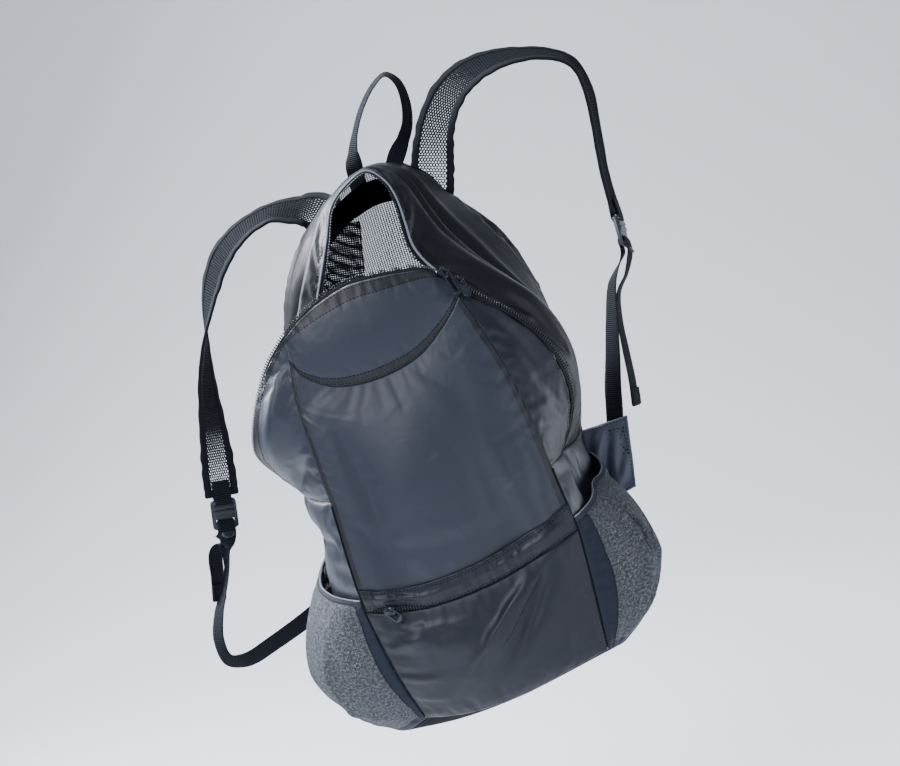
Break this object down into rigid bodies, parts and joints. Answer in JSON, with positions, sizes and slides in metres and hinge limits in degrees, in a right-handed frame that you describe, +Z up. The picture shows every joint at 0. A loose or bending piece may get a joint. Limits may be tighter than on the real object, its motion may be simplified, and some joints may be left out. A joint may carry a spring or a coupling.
{
  "type": "backpack",
  "caption": "Packable daypack of thin nylon, hanging from its haul loop with the main zip half open and the hood folded back.",
  "frame": {"origin": "underside of the haul loop at its highest point, where a hook or a finger carries the bag", "axes": "+Z up, -Y towards the front panel, +X to the right as the front is seen, back panel parallel to XZ"},
  "size_m": [0.4607, 0.2263, 0.5348],
  "materials": {
    "ripstop_nylon": "thin glossy woven nylon",
    "pocket_net": "fine see-through net",
    "back_net": "fine open net",
    "strap_net": "open hexagonal net",
    "webbing": "ribbed flat webbing",
    "binding_tape": "folded tape",
    "coil_zip": "woven tape with a nylon coil",
    "acetal": "satin moulding",
    "slider_metal": "dark painted die casting"
  },
  "bodies": {
    "bag": {"front_panel": "ripstop_nylon", "front_yoke": "ripstop_nylon", "left_gusset": "ripstop_nylon", "right_gusset": "ripstop_nylon", "hood": "ripstop_nylon", "left_side_panel": "ripstop_nylon", "right_side_panel": "ripstop_nylon", "bottom_panel": "ripstop_nylon", "back_panel": "back_net", "front_pocket": "ripstop_nylon", "front_pocket_zip": "coil_zip", "front_pocket_band": "ripstop_nylon", "side_pocket_left": "pocket_net", "side_pocket_binding_left": "binding_tape", "side_pocket_right": "pocket_net", "side_pocket_binding_right": "binding_tape", "zip_half_front": "coil_zip", "zip_half_hood": "coil_zip", "zip_closed": "coil_zip", "strap_net_right": "strap_net", "strap_binding_right_inner": "binding_tape", "strap_binding_right_outer": "binding_tape", "strap_net_left": "strap_net", "strap_binding_left_inner": "binding_tape", "strap_binding_left_outer": "binding_tape", "haul_loop": "webbing", "buckle_right": "acetal", "buckle_loop_right": "webbing", "webbing_right": "webbing", "buckle_left": "acetal", "buckle_loop_left": "webbing", "webbing_left": "webbing", "wing_tab_right": "ripstop_nylon", "wing_tab_left": "ripstop_nylon", "strap_anchor_band": "webbing", "main_zip_slider": "slider_metal", "second_zip_slider": "slider_metal", "front_pocket_slider": "slider_metal"},
    "main_pull": {"main_zip_pull": "slider_metal"},
    "second_pull": {"second_zip_pull": "slider_metal"},
    "pocket_pull": {"front_pocket_pull": "slider_metal"}
  },
  "joints": [
    {"name": "main_pull_swing", "type": "hinge", "parent": "bag", "child": "main_pull", "pos_m": [0.00778, -0.13154, -0.16657], "axis": [-0.7429, -0.6531, 0.1471], "range_deg": [0, 150]},
    {"name": "second_pull_swing", "type": "hinge", "parent": "bag", "child": "second_pull", "pos_m": [0.0169, -0.13118, -0.17646], "axis": [-0.7643, -0.6319, 0.1285], "range_deg": [0, 150]},
    {"name": "pocket_pull_swing", "type": "hinge", "parent": "bag", "child": "pocket_pull", "pos_m": [-0.11229, -0.16105, -0.41279], "axis": [-0.7248, 0.159, -0.6703], "range_deg": [0, 150]}
  ]
}
